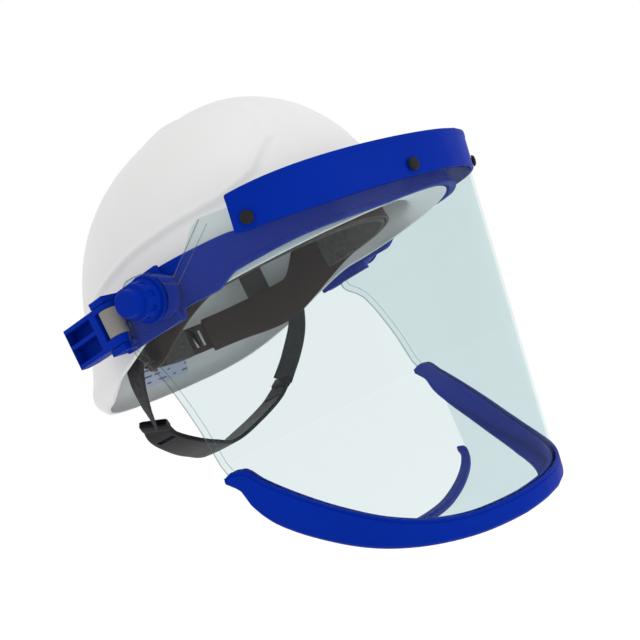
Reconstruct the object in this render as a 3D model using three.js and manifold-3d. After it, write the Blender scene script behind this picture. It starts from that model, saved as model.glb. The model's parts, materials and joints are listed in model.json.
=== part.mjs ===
// Helmet-mounted face shield with a chin guard: safety helmet, suspension, chin strap, clamp-on carrier
// bracket and a tilting clear visor. Millimetres, +Z up as worn, the wearer faces -Y and +X is the
// wearer's left. The origin is the middle of the wearer's head at headband level.
import * as THREE from "three";
import { mergeVertices } from "three/addons/utils/BufferGeometryUtils.js";
import Module from "manifold-3d";

const wasm = await Module();
wasm.setup();

// ---------------------------------------------------------------- driving dimensions
const GAP = 0.3; // clearance between neighbouring pieces
const SIDES = { right: -1, left: 1 };
const VISOR_TUCK = (12 * Math.PI) / 180; // the visor leans back towards the chin by this angle
const VISOR_PIVOT_Y = -6; // where the tilt axis crosses the visor's own frame, at z 0
const PIVOT = { y: VISOR_PIVOT_Y * Math.cos(VISOR_TUCK), z: VISOR_PIVOT_Y * Math.sin(VISOR_TUCK) };

// Plan outlines, all seen from above: widest at centreY, rounded towards -Y, closing in to the rear.
// A plan is straight from centreY back to flatTo, where the tabs carry the pivot.
const ROUND = { roundX: 1.8, roundY: 1.7 };
const LENS_PLAN = { halfWidth: 119.2, depth: 118, centreY: -23, ...ROUND, flatTo: 5, pinch: 0.0228 };
const BRACKET_PLAN = { halfWidth: 106, depth: 128, centreY: -3, ...ROUND, flatTo: 40, pinch: 0 };
const PEAK_PLAN = { halfWidth: 101.4, depth: 123.8, centreY: -3, ...ROUND };

const SHELL = { halfWidth: 103, front: 96, rear: 139, centreY: -3, baseZ: -57, height: 163.5, wall: 2.6 };
const SHELL_PLAN_POWER = 2.27;
const SHELL_RISE_POWER = 2.56;
const SKIRT = { flare: 17, fromY: 38, top: 18 }; // the rear wall slants outwards towards the rim
const RIM_TUCK = { depth: 10, height: 14, fromY: 62, overY: 30 }; // the rim rolls under at the rear
const PEAK_RISE = 26; // the peak's upper face runs out into the dome this far above the rim

const LENS_WALL = 1.5;
const LENS_FRONT_Y = LENS_PLAN.centreY - LENS_PLAN.depth;
const BAND = {
  rearY: -62, wall: 1.6, lip: 1.8,
  rearLow: 16.6, frontLow: 21.4, rearHigh: 36, frontHigh: 42.3,
};
const TRIM = { tipY: -20, wall: 2, floor: 2, chamfer: 2.4 };
const CHIN_EDGE = { halfWidth: 70, rearY: -61, depth: 12, rearZ: -151, drop: 13, round: 1.7 };
const CHIN_RIM = { width: 6.4, height: 4.4 };
const GUARD_REAR_Y = -41;

const KNOB = { washerRadius: 12.5, collarRadius: 10, capRadius: 7.3, flutes: 8 };
const BOLT_RADIUS = 3;
const PLATE = { inner: 106.3, outer: 109.1, frontY: -9.6, rearY: 34, low: -17.4, high: 14.6 };
const LEVER = { rearY: 61.6, low: -12.7, high: 10.8, inner: 110.4, outer: 120.6 };
const ROLLER = { y: 27, x: 115.5, radius: 5.5, low: -7.6, high: 7.6, bore: 1.8 };
const EAR = { frontY: 22.9, thick: 3.6, gap: 0.4 };
const HEADBAND = {
  halfWidth: 79, front: 90, rear: 92, centreY: 8, wall: 2,
  low: -22, high: 3, // at the nape
  lift: 15, browLift: 19, // how much higher the two edges are at the brow
};
const STRAP = { width: 14.5, wall: 1.6, twist: 0.75 };

const COLOUR = {
  blue: 0x0a35b4,
  white: 0xe9e9e6,
  clear: 0xdfeeee,
  dark: 0x2e2725,
  black: 0x1a1a1c,
  elastic: 0xa8a49c,
  steel: 0x9a9c9e,
  pad: 0x4a4846,
  sheet: 0xc9d2e4,
};

// ---------------------------------------------------------------- small maths
function clamp01(value) {
  return Math.max(0, Math.min(1, value));
}

function smoothStep(value, from, to) {
  const share = clamp01((value - from) / (to - from));
  return share * share * (3 - 2 * share);
}

function signedPower(value, power) {
  return Math.sign(value) * Math.abs(value) ** power;
}

// ---------------------------------------------------------------- meshes and booleans
function material(name) {
  const roughness = name === "white" || name === "clear" ? 0.2 : 0.45;
  const metalness = name === "steel" ? 0.9 : 0;
  const options = { color: COLOUR[name], roughness, metalness };
  if (name === "clear") Object.assign(options, { transparent: true, opacity: 0.35 });
  return new THREE.MeshStandardMaterial(options);
}

function bareGeometry(geometry) {
  const copy = geometry.clone();
  copy.deleteAttribute("normal");
  copy.deleteAttribute("uv");
  return mergeVertices(copy, 1e-4);
}

function solidOf(geometry) {
  const bare = bareGeometry(geometry);
  const vertProperties = bare.attributes.position.array;
  const triVerts = new Uint32Array(bare.index.array);
  return new wasm.Manifold(new wasm.Mesh({ numProp: 3, vertProperties, triVerts }));
}

function geometryOf(solid) {
  const mesh = solid.getMesh();
  const positions = new Float32Array(mesh.numVert * 3);
  for (let i = 0; i < mesh.numVert; i++) {
    positions.set(mesh.vertProperties.subarray(i * mesh.numProp, i * mesh.numProp + 3), i * 3);
  }
  const geometry = new THREE.BufferGeometry();
  geometry.setAttribute("position", new THREE.BufferAttribute(positions, 3));
  geometry.setIndex(new THREE.BufferAttribute(new Uint32Array(mesh.triVerts), 1));
  return geometry;
}

function cut(geometry, ...tools) {
  return geometryOf(tools.reduce((solid, tool) => solid.subtract(solidOf(tool)), solidOf(geometry)));
}

function join(geometry, ...others) {
  return geometryOf(others.reduce((solid, other) => solid.add(solidOf(other)), solidOf(geometry)));
}

function signedVolume(points, faces) {
  let volume = 0;
  for (const [a, b, c] of faces) {
    const [p, q, r] = [points[a], points[b], points[c]];
    volume += p[0] * (q[1] * r[2] - q[2] * r[1]);
    volume += p[1] * (q[2] * r[0] - q[0] * r[2]);
    volume += p[2] * (q[0] * r[1] - q[1] * r[0]);
  }
  return volume;
}

function closedGeometry(points, faces) {
  const outward = signedVolume(points, faces) > 0;
  const index = faces.flatMap(([a, b, c]) => (outward ? [a, b, c] : [a, c, b]));
  const geometry = new THREE.BufferGeometry();
  geometry.setAttribute("position", new THREE.Float32BufferAttribute(points.flat(), 3));
  geometry.setIndex(index);
  return geometry;
}

// A solid through a row of sections with the same corners. The profile gives the corners' flat shape,
// which triangulates the two end caps. A looped ribbon has no caps.
function ribbon(sections, profile, looped = false) {
  const size = profile.length;
  const points = sections.flat();
  const faces = [];
  const spans = looped ? sections.length : sections.length - 1;
  for (let i = 0; i < spans; i++) {
    const here = i * size;
    const next = ((i + 1) % sections.length) * size;
    for (let k = 0; k < size; k++) {
      const side = (k + 1) % size;
      faces.push([here + k, next + k, next + side], [here + k, next + side, here + side]);
    }
  }
  if (!looped) {
    const outline = profile.map(([u, v]) => new THREE.Vector2(u, v));
    const flip = THREE.ShapeUtils.isClockWise(outline) ? -1 : 1;
    const last = (sections.length - 1) * size;
    for (const [a, b, c] of THREE.ShapeUtils.triangulateShape(outline, [])) {
      const turned = flip > 0 ? [a, b, c] : [a, c, b];
      faces.push([turned[0], turned[1], turned[2]]);
      faces.push([last + turned[0], last + turned[2], last + turned[1]]);
    }
  }
  return closedGeometry(points, faces);
}

function box(low, high) {
  const size = high.map((value, i) => value - low[i]);
  const geometry = new THREE.BoxGeometry(...size);
  return geometry.translate(...low.map((value, i) => value + size[i] / 2));
}

function rod(axis, centre, radius, length, segments = 24) {
  const geometry = new THREE.CylinderGeometry(radius, radius, length, segments);
  if (axis === "x") geometry.rotateZ(Math.PI / 2);
  if (axis === "z") geometry.rotateX(Math.PI / 2);
  return geometry.translate(...centre);
}

// ---------------------------------------------------------------- plan outlines
function planX(plan, y) {
  if (y >= plan.centreY) return plan.halfWidth - plan.pinch * Math.max(0, y - plan.flatTo) ** 2;
  const reach = Math.min(1, (plan.centreY - y) / plan.depth);
  return plan.halfWidth * (1 - reach ** plan.roundY) ** (1 / plan.roundX);
}

// A point on the outline at this y and side, moved outwards by offset.
function planPoint(plan, side, y, offset) {
  const front = plan.centreY - plan.depth;
  if (y <= front + 1e-6) return [0, front - offset];
  const step = Math.min(0.5, (y - front) / 4);
  const slope = (planX(plan, y + step) - planX(plan, y - step)) / (2 * step);
  const length = Math.hypot(1, slope);
  return [side * (planX(plan, y) + offset / length), y - (offset * slope) / length];
}

// The y values of the stations along one side, from the rear to the front, even in turning.
function planStations(plan, rearY, turns, legs) {
  const ys = [];
  for (let i = 0; i < legs; i++) ys.push(rearY + ((plan.centreY - rearY) * i) / legs);
  for (let i = 0; i < turns; i++) {
    const angle = (Math.PI / 2) * (i / turns);
    ys.push(plan.centreY - plan.depth * Math.sin(angle) ** (2 / plan.roundY));
  }
  return ys.filter((y) => y <= rearY);
}

function withMarks(ys, marks, rearY) {
  const all = [...ys, ...marks].filter((y) => y <= rearY).sort((a, b) => b - a);
  return all.filter((y, i) => i === 0 || all[i - 1] - y > 0.6);
}

// A wall that runs from one rear end round the front to the other. section(y) gives its flat profile as
// [offset, z] corners at that station.
function wrapped(plan, ys, section) {
  const front = plan.centreY - plan.depth;
  const place = (side, y) =>
    section(y).map(([offset, z]) => {
      const [x, py] = planPoint(plan, side, y, offset);
      return [x, py, z];
    });
  const right = ys.map((y) => place(-1, y));
  const left = ys.map((y) => place(1, y)).reverse();
  return ribbon([...right, place(1, front), ...left], section(ys[0]));
}

// The height at y on a line through marks of [y, z], which run from the rear to the front.
function profileLine(marks, y) {
  if (y >= marks[0][0]) return marks[0][1];
  for (let i = 1; i < marks.length; i++) {
    const [y0, z0] = marks[i - 1];
    const [y1, z1] = marks[i];
    if (y >= y1) return z0 + ((z1 - z0) * (y0 - y)) / (y0 - y1);
  }
  return marks.at(-1)[1];
}

// ---------------------------------------------------------------- helmet shell
function rimZ(y) {
  return -10.5 - 24 * Math.sin((Math.PI / 2) * clamp01(y / 125)) ** 1.5 + 0.01 * Math.min(0, y);
}

function domeScale(z) {
  const rise = clamp01((z - SHELL.baseZ) / SHELL.height);
  return (1 - rise ** SHELL_RISE_POWER) ** (1 / SHELL_RISE_POWER);
}

// How far the rear rim rolls inwards at this place.
function rimTuck(y, z) {
  const { depth, height, fromY, overY } = RIM_TUCK;
  return depth * clamp01((y - fromY) / overY) * clamp01(1 - (z - rimZ(y)) / height) ** 2;
}

// The dome's outline at height z in the direction turn, 0 at the rear.
function domePoint(turn, z, inset) {
  const [s, c] = [Math.sin(turn), Math.cos(turn)];
  const reach = (c > 0 ? SHELL.rear : SHELL.front) - inset;
  const scale = domeScale(z);
  const x = (SHELL.halfWidth - inset) * scale * signedPower(s, 2 / SHELL_PLAN_POWER);
  const y = SHELL.centreY + reach * scale * signedPower(c, 2 / SHELL_PLAN_POWER);
  const skirt = SKIRT.flare * clamp01((y - SKIRT.fromY) / 60) ** 1.5 * clamp01((SKIRT.top - z) / 60) ** 1.6;
  const out = skirt - rimTuck(y, z);
  return [x + out * s, y + out * c];
}

// The peak's outline in the same direction, which only exists on the front half.
function peakPoint(turn, inset) {
  const [s, c] = [Math.sin(turn), -Math.cos(turn)];
  if (c <= 0) return null;
  const x = (PEAK_PLAN.halfWidth - inset) * signedPower(s, 2 / PEAK_PLAN.roundX);
  return [x, PEAK_PLAN.centreY - (PEAK_PLAN.depth - inset) * c ** (2 / PEAK_PLAN.roundY)];
}

// A point on the shell, share of the way from the rim up to the crown.
function shellPoint(turn, share, inner) {
  const inset = inner ? SHELL.wall : 0;
  const rim = rimZ(domePoint(turn, rimZ(0), 0)[1]);
  const top = SHELL.baseZ + SHELL.height - inset;
  const z = rim + (top - rim) * Math.sin((share * Math.PI) / 2);
  const [x, y] = domePoint(turn, Math.min(z + inset * share, SHELL.baseZ + SHELL.height), inset);
  const peak = peakPoint(turn, inset);
  if (!peak) return [x, y, z];
  const rise = inner ? PEAK_RISE * 0.4 : PEAK_RISE;
  const flare = Math.max(0, 1 - (z - rim) / rise) ** 2;
  return [x + (peak[0] - x) * flare, y + (peak[1] - y) * flare, z];
}

function helmetShell() {
  const turns = 56;
  const rows = [0, 0.02, 0.045, 0.075, 0.12, 0.2, 0.3, 0.42, 0.55, 0.68, 0.8, 0.91];
  const points = [];
  const faces = [];
  const ring = (share, inner) => {
    for (let i = 0; i < turns; i++) points.push(shellPoint((2 * Math.PI * i) / turns, share, inner));
  };
  for (const share of [...rows].reverse()) ring(share, false);
  for (const share of rows) ring(share, true);
  const rings = rows.length * 2;
  for (let r = 0; r + 1 < rings; r++) {
    for (let i = 0; i < turns; i++) {
      const next = (i + 1) % turns;
      const [a, b, c, d] = [r * turns + i, r * turns + next, (r + 1) * turns + next, (r + 1) * turns + i];
      faces.push([a, b, c], [a, c, d]);
    }
  }
  const crown = SHELL.baseZ + SHELL.height;
  points.push([0, SHELL.centreY, crown], [0, SHELL.centreY, crown - SHELL.wall]);
  for (let i = 0; i < turns; i++) {
    const next = (i + 1) % turns;
    faces.push([points.length - 2, next, i]);
    faces.push([points.length - 1, (rings - 1) * turns + i, (rings - 1) * turns + next]);
  }
  return closedGeometry(points, faces);
}

// ---------------------------------------------------------------- suspension inside the helmet
function ovalPoint(turn, offset) {
  const reach = Math.cos(turn) > 0 ? HEADBAND.rear : HEADBAND.front;
  const x = (HEADBAND.halfWidth + offset) * Math.sin(turn);
  return [x, HEADBAND.centreY + (reach + offset) * Math.cos(turn)];
}

// A band on the headband's oval between two turns (0 at the rear, pi at the front).
function ovalBand(from, to, steps, lowAt, highAt, inner, outer) {
  const sections = [];
  for (let i = 0; i <= steps; i++) {
    const turn = from + ((to - from) * i) / steps;
    const [xi, yi] = ovalPoint(turn, inner);
    const [xo, yo] = ovalPoint(turn, outer);
    const low = typeof lowAt === "function" ? lowAt(turn) : lowAt;
    const high = typeof highAt === "function" ? highAt(turn) : highAt;
    sections.push([[xi, yi, low], [xo, yo, low], [xo, yo, high], [xi, yi, high]]);
  }
  return ribbon(sections, [[0, 0], [1, 0], [1, 1], [0, 1]]);
}

const NAPE_TURN = 0.62; // the nape band ends this far round from the rear

// How far round from the rear a turn is, on either side.
function fromRear(turn) {
  return Math.PI - Math.abs(Math.abs(turn) - Math.PI);
}

// The headband hangs low at the nape and rises to the brow.
function headbandLow(turn) {
  return HEADBAND.low + HEADBAND.lift * smoothStep(fromRear(turn), 1.1, 1.95);
}

function headbandHigh(turn) {
  return HEADBAND.high + HEADBAND.browLift * smoothStep(fromRear(turn), 1.2, 1.45);
}

function headbandFront() {
  const dip = (turn) => headbandLow(turn) - 4 * Math.exp(-(((fromRear(turn) - 1.05) / 0.3) ** 2));
  return ovalBand(NAPE_TURN - 0.2, 2 * Math.PI - NAPE_TURN + 0.2, 44, dip, headbandHigh, 0, HEADBAND.wall);
}

// The nape band slides on the outside of the headband's ends, with a row of slots near each end.
function napeBand() {
  const { wall, low } = HEADBAND;
  const inner = wall + GAP;
  const outer = 2 * wall + GAP;
  const band = ovalBand(-NAPE_TURN, NAPE_TURN, 20, low + 3, low + 23, inner, outer);
  const slots = [];
  for (const side of [-1, 1]) {
    for (let i = 0; i < 3; i++) {
      const turn = side * (NAPE_TURN - 0.26 - 0.07 * i);
      const [x, y] = ovalPoint(turn, 1.5 * wall + GAP);
      const slot = box([-1.4, -4, low + 7], [1.4, 4, low + 19]);
      slots.push(slot.rotateZ(-turn).translate(x, y, 0));
    }
  }
  return cut(band, ...slots);
}

function napePad() {
  const { wall, low } = HEADBAND;
  return ovalBand(-0.19, 0.19, 8, low + 2, low + 24, -2.6, wall);
}

function sweatband() {
  const low = HEADBAND.low + HEADBAND.lift - 1;
  const high = HEADBAND.high + HEADBAND.browLift - 3;
  return ovalBand(Math.PI - 1.5, Math.PI + 1.5, 34, low, high, -4.6, -GAP);
}

const CROWN = { radius: 17, z: 74, centreY: 4, wall: 1.8 };
const CLIP_TURNS = { front_right: -1.85, front_left: 1.85, rear_right: -0.98, rear_left: 0.98 };

function crownRing() {
  const outer = rod("z", [0, CROWN.centreY, CROWN.z], CROWN.radius, CROWN.wall, 28);
  return cut(outer, rod("z", [0, CROWN.centreY, CROWN.z], 6, 9, 20));
}

// A webbing strap from a clip on the headband up to the crown ring.
function crownStrap(turn) {
  const [bx, by] = ovalPoint(turn, HEADBAND.wall + GAP);
  const reach = Math.hypot(bx, by - CROWN.centreY);
  const [ux, uy] = [bx / reach, (by - CROWN.centreY) / reach];
  const startZ = headbandHigh(turn) + GAP;
  const endR = CROWN.radius + GAP;
  const sections = [];
  const steps = 12;
  const half = 9;
  for (let i = 0; i <= steps; i++) {
    const angle = (Math.PI / 2) * (i / steps);
    const r = endR + (reach - endR) * Math.cos(angle) ** 0.8;
    const z = startZ + (CROWN.z + 0.6 - startZ) * Math.sin(angle);
    const [nr, nz] = [Math.cos(angle) * 0.8, Math.sin(angle)];
    const size = Math.hypot(nr, nz);
    const place = (across, out) => {
      const radial = r + (out * nr) / size;
      return [ux * radial - uy * across, CROWN.centreY + uy * radial + ux * across, z + (out * nz) / size];
    };
    sections.push([place(-half, 0), place(half, 0), place(half, 1.4), place(-half, 1.4)]);
  }
  return ribbon(sections, [[0, 0], [1, 0], [1, 1], [0, 1]]);
}

// A clip that hangs the headband on the shell: a tongue, and a hook above the rim.
function suspensionClip(turn) {
  const [x, y] = ovalPoint(turn, HEADBAND.wall + 2 * GAP + 1.4);
  const body = box([-9, 0, -24], [9, 5, -2]);
  const slot = box([-6.5, -2, -10], [6.5, 9, -7]);
  return cut(body, slot).rotateZ(-turn).translate(x, y, headbandHigh(turn));
}

function informationSheet() {
  const sections = [];
  for (let i = 0; i <= 8; i++) {
    const turn = -0.06 + 0.05 * i;
    const at = (inset, z) => [...domePoint(turn, z, SHELL.wall + inset), z];
    sections.push([at(1.6, -24), at(1, -24), at(1, 4), at(1.6, 4)]);
  }
  return ribbon(sections, [[0, 0], [1, 0], [1, 1], [0, 1]]);
}

// ---------------------------------------------------------------- chin strap
// The strap runs from a side anchor down and back to the chin cup, which hangs a little askew.
const STRAP_PIVOT = { x: 88.4, y: 46, z: -8, stud: 3 };
const STRAP_ROUTE = {
  right: [[-88.4, 41.6, -1], [-88.4, 46, -8], [-87.4, 58, -27], [-81, 68, -44], [-71, 78.4, -54.2]],
  left: [[88.4, 41.6, -1], [88.4, 46, -8], [88, 57, -30], [82, 70, -48], [68.5, 78.2, -62.6]],
};
const CUP_ROUTE = [
  [-68, 80.8, -56.6], [-58, 88, -64], [-42, 92, -73], [-22, 97, -80.5], [0, 101, -86], [28, 93, -81],
  [54, 84, -72.5], [66, 79.4, -65.4],
];
const CUP_SLOTS = [[-57, 88.4, -65], [54.5, 83.8, -72.5]];
const CUP = { endWidth: 17, middleWidth: 30, wall: 2.4 };

// A flat strap along a route. Its width lies along Y at the start and turns by twist towards the end.
function flatStrap(route, widthAt, wall, steps, twist = 0) {
  const curve = new THREE.CatmullRomCurve3(route.map((point) => new THREE.Vector3(...point)));
  const sections = [];
  for (let i = 0; i <= steps; i++) {
    const t = i / steps;
    const turn = twist * smoothStep(t, 0.2, 1);
    const across = new THREE.Vector3(Math.sin(turn), Math.cos(turn), 0);
    const centre = curve.getPointAt(t);
    const along = curve.getTangentAt(t);
    const wide = across.clone().sub(along.clone().multiplyScalar(across.dot(along))).normalize();
    const thick = new THREE.Vector3().crossVectors(along, wide);
    const half = widthAt(t) / 2;
    const corner = (u, v) =>
      centre.clone().addScaledVector(wide, u * half).addScaledVector(thick, (v * wall) / 2).toArray();
    sections.push([corner(-1, -1), corner(1, -1), corner(1, 1), corner(-1, 1)]);
  }
  return ribbon(sections, [[0, 0], [1, 0], [1, 1], [0, 1]]);
}

function chinCup() {
  const swell = CUP.middleWidth - CUP.endWidth;
  const widthAt = (share) => CUP.endWidth + swell * Math.sin(Math.PI * share);
  const cup = flatStrap(CUP_ROUTE, widthAt, CUP.wall, 20);
  const slots = CUP_SLOTS.map((place) => box([-1.5, -7.6, -8], [1.5, 7.6, 8]).translate(...place));
  return cut(cup, ...slots);
}

function chinStrap(side) {
  const { x, y, z, stud } = STRAP_PIVOT;
  const hole = rod("x", [side * x, y, z], stud + GAP, 10, 20);
  const route = side < 0 ? STRAP_ROUTE.right : STRAP_ROUTE.left;
  return cut(flatStrap(route, () => STRAP.width, STRAP.wall, 16, -side * STRAP.twist), hole);
}

// A plate on the shell's inside with a stud and a flat head that the strap swings on.
function strapAnchor(side) {
  const { x, y, z, stud } = STRAP_PIVOT;
  const clear = STRAP.wall / 2 + GAP;
  const plate = mirroredBox(side, [x + clear, y - 7, z - 5], [x + clear + 1.4, y + 7, z + 9]);
  const pin = rod("x", [side * x, y, z], stud, 2 * clear + 1, 20);
  const head = rod("x", [side * (x - clear - 0.6), y, z], 5.4, 1.2, 20);
  return join(plate, pin, head);
}

// ---------------------------------------------------------------- carrier bracket
// The arm's lower and upper edges as corners of [y, z].
const ARM_LOW = [
  [36, -13.5], [26, -16], [-9, -17.4], [-12, -12.6], [-33, -13.4], [-46, -8.8], [-73, -8.4], [-115, -12],
];
const ARM_HIGH = [[36, 14.6], [-11, 13.6], [-32, 12.3], [-50, 10.7], [-62, 7.4], [-90, 5], [-115, 4]];

function carrierBracket() {
  const rearY = 36;
  const marks = [...ARM_LOW, ...ARM_HIGH].map(([y]) => y);
  const ys = withMarks(planStations(BRACKET_PLAN, rearY, 16, 5), marks, rearY);
  const wall = 2.4;
  const lip = 2.2;
  const section = (y) => {
    const low = profileLine(ARM_LOW, y);
    const high = profileLine(ARM_HIGH, y);
    const out = Math.min(1.8, Math.max(0, (PLATE.frontY - 2 - y) / 4));
    return [[out, low], [out, low + lip], [0, low + lip + 1], [0, high], [-wall, high], [-wall, low]];
  };
  return cut(wrapped(BRACKET_PLAN, ys, section), ...pivotBores(104));
}

function pivotBores(x) {
  return Object.values(SIDES).map((side) => rod("x", [side * x, PIVOT.y, PIVOT.z], BOLT_RADIUS + GAP, 14));
}

// The plate lies on the arm's end. Its rear is a fork whose two ears reach out to hold the lever's pin.
function endPlate(side) {
  const { inner, outer, frontY, rearY, low, high } = PLATE;
  const slab = mirroredBox(side, [inner, frontY, low], [outer, rearY, high]);
  const reach = ROLLER.x + 4.6;
  const ear = (from, to) => mirroredBox(side, [inner, EAR.frontY, from], [reach, rearY, to]);
  const lowEar = ear(LEVER.low - EAR.gap - EAR.thick, LEVER.low - EAR.gap);
  const highEar = ear(LEVER.high + EAR.gap, LEVER.high + EAR.gap + EAR.thick);
  const fork = mirroredBox(side, [inner - 1, EAR.frontY - 1, -8.6], [outer + 1, rearY + 1, 8.6]);
  const pinBore = rod("z", [side * ROLLER.x, ROLLER.y, -2], ROLLER.bore, 60, 16);
  const bolt = rod("x", [side * 108, PIVOT.y, PIVOT.z], BOLT_RADIUS + GAP, 14);
  return cut(join(slab, lowEar, highEar), fork, pinBore, bolt);
}

// ---------------------------------------------------------------- clamp levers
function mirroredBox(side, low, high) {
  const xs = [side * low[0], side * high[0]].sort((a, b) => a - b);
  return box([xs[0], low[1], low[2]], [xs[1], high[1], high[2]]);
}

// A frame on the pin: two rounded cheeks, a crossbar behind the roller and a handle with two pockets.
function clampLever(side) {
  const { rearY, low, high, inner, outer } = LEVER;
  const plan = new THREE.Shape();
  plan.moveTo(inner, ROLLER.y);
  plan.absarc(ROLLER.x, ROLLER.y, ROLLER.x - inner, Math.PI, 2 * Math.PI, false);
  plan.lineTo(outer, ROLLER.y);
  plan.lineTo(outer, rearY - 2);
  plan.lineTo(outer - 2, rearY);
  plan.lineTo(inner + 3, rearY);
  plan.lineTo(inner, rearY - 6);
  plan.closePath();
  const extrusion = { depth: high - low, bevelEnabled: false, curveSegments: 14 };
  const body = new THREE.ExtrudeGeometry(plan, extrusion);
  body.translate(0, 0, low);
  if (side < 0) body.rotateY(Math.PI).translate(0, 0, low + high);
  const windowLow = [inner - 1, ROLLER.y - 9, ROLLER.low - GAP];
  const windowHigh = [outer + 1, ROLLER.y + 5.8, ROLLER.high + GAP];
  const window = mirroredBox(side, windowLow, windowHigh);
  const pockets = [[1.1, high - 2.4], [low + 2.4, -1.1]].map(([from, to]) =>
    mirroredBox(side, [inner + 2.4, 38, from], [outer + 1, rearY - 1.6, to]),
  );
  const pinBore = rod("z", [side * ROLLER.x, ROLLER.y, -1], ROLLER.bore, 60, 16);
  return cut(body, window, ...pockets, pinBore);
}

function leverPin(side) {
  const low = LEVER.low - EAR.gap - EAR.thick + 0.3;
  const high = LEVER.high + EAR.gap + EAR.thick - 0.3;
  return rod("z", [side * ROLLER.x, ROLLER.y, (low + high) / 2], ROLLER.bore - GAP, high - low, 16);
}

function gripRoller(side) {
  const length = ROLLER.high - ROLLER.low;
  const middle = [side * ROLLER.x, ROLLER.y, (ROLLER.high + ROLLER.low) / 2];
  return cut(rod("z", middle, ROLLER.radius, length, 28), rod("z", middle, ROLLER.bore, length + 2, 16));
}

// ---------------------------------------------------------------- visor (in its own leaning frame)
// Edges of the lens and its trim as corners of [y, z], from the rear to the front.
const LENS_HIGH = [
  [18.4, -17.5], [17.4, -8], [15, 2], [10, 9.6], [5.6, 12.6], [0, 13.5], [-6, 13.5], [-26, 7],
  [-47.5, 29.4], [-61, 30.2],
];
const LENS_LOW = [
  [18.4, -20.5], [17.4, -25], [15, -28], [10, -31.5], [5, -36], [0, -44], [-3.5, -51], [-8.5, -62],
  [-12.5, -72], [-16, -83], [-18.8, -92], [-21.6, -97],
];

const TRIM_HIGH = [
  [-20, -98.4], [-22.5, -96.2], [-26, -95.2], [-31, -95.3], [-40, -102.6], [-55.5, -114.3], [-71, -125.5],
  [-90, -138], [-106, -145.8], [-120, -149.8], [-134, -151.4],
];
const TRIM_LOW = [
  [-20, -101], [-23.4, -103.6], [-28, -107.6], [-31, -115], [-39, -124.7], [-47, -130.8], [-55.6, -136.4],
  [-75, -147.6], [-86.5, -152.8], [-103, -158.3], [-121, -162.3], [-134, -163.8],
];

function trimHigh(y) {
  return profileLine(TRIM_HIGH, y);
}

function trimLow(y) {
  return profileLine(TRIM_LOW, y);
}

// The trim's floor reaches inwards as a ledge that widens towards the front and carries the chin guard.
function trimLedge(y) {
  return 9 * clamp01((TRIM_LOW[4][0] - y) / 70) ** 0.8;
}

function bandShare(y) {
  return clamp01((y - BAND.rearY) / (LENS_FRONT_Y - BAND.rearY));
}

function bandLow(y) {
  return BAND.rearLow + (BAND.frontLow - BAND.rearLow) * bandShare(y) ** 1.2;
}

function bandHigh(y) {
  return BAND.rearHigh + (BAND.frontHigh - BAND.rearHigh) * (1 - (1 - bandShare(y)) ** 3);
}

const RIVET_SPOTS = [-69.2, -130];

function rivetPlaces() {
  const places = [];
  for (const [name, side] of Object.entries(SIDES)) {
    RIVET_SPOTS.forEach((y, i) => {
      const [x, py] = planPoint(LENS_PLAN, side, y, 0);
      const [ox, oy] = planPoint(LENS_PLAN, side, y, 1);
      const label = `${name}_${i === 0 ? "rear" : "front"}`;
      places.push({ label, x, y: py, z: bandLow(y) + 5.6, nx: ox - x, ny: oy - py });
    });
  }
  return places;
}

// Turns geometry that is built along +Y to the outward normal.
function alongNormal(geometry, place) {
  geometry.rotateZ(Math.atan2(place.ny, place.nx) - Math.PI / 2);
  return geometry.translate(place.x, place.y, place.z);
}

function rivetBores() {
  const bore = () => new THREE.CylinderGeometry(1.9 + GAP, 1.9 + GAP, 14, 16);
  return rivetPlaces().map((place) => alongNormal(bore(), place));
}

function rivet(place) {
  const profile = [[0, -3.2], [1.9, -3.2], [1.9, 4], [3.5, 4], [3.5, 4.6], [2.6, 5.6], [0, 6]];
  const geometry = new THREE.LatheGeometry(profile.map(([r, h]) => new THREE.Vector2(r, h)), 16);
  return alongNormal(geometry, place);
}

function visorLens() {
  const rearY = LENS_HIGH[0][0];
  const marks = [...LENS_HIGH, ...LENS_LOW].map(([y]) => y);
  const ys = withMarks([...planStations(LENS_PLAN, rearY, 22, 5), -23.6, -28, -33], marks, rearY);
  const half = LENS_WALL / 2;
  const section = (y) => {
    const high = y < BAND.rearY ? bandHigh(y) - BAND.lip - GAP : profileLine(LENS_HIGH, y);
    const low = y < -22 ? Math.min(-97.5, trimLow(y) + TRIM.floor + GAP) : profileLine(LENS_LOW, y);
    return [[half, low], [half, high], [-half, high], [-half, low]];
  };
  const sheet = wrapped(LENS_PLAN, ys, section);
  const bore = (side) => rod("x", [side * 118, VISOR_PIVOT_Y, 0], BOLT_RADIUS + GAP, 20);
  return cut(sheet, ...Object.values(SIDES).map(bore), ...rivetBores());
}

function topBand() {
  const ys = planStations(LENS_PLAN, BAND.rearY, 26, 0).concat(BAND.rearY).sort((a, b) => b - a);
  const clear = LENS_WALL / 2 + GAP;
  const section = (y) => {
    const low = bandLow(y);
    const high = bandHigh(y);
    const under = high - BAND.lip;
    const outer = clear + BAND.wall;
    const inner = -clear - 1.4;
    return [[outer, low], [outer, high], [inner, high], [inner, under], [clear, under], [clear, low]];
  };
  return cut(wrapped(LENS_PLAN, ys, section), ...rivetBores());
}

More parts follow.
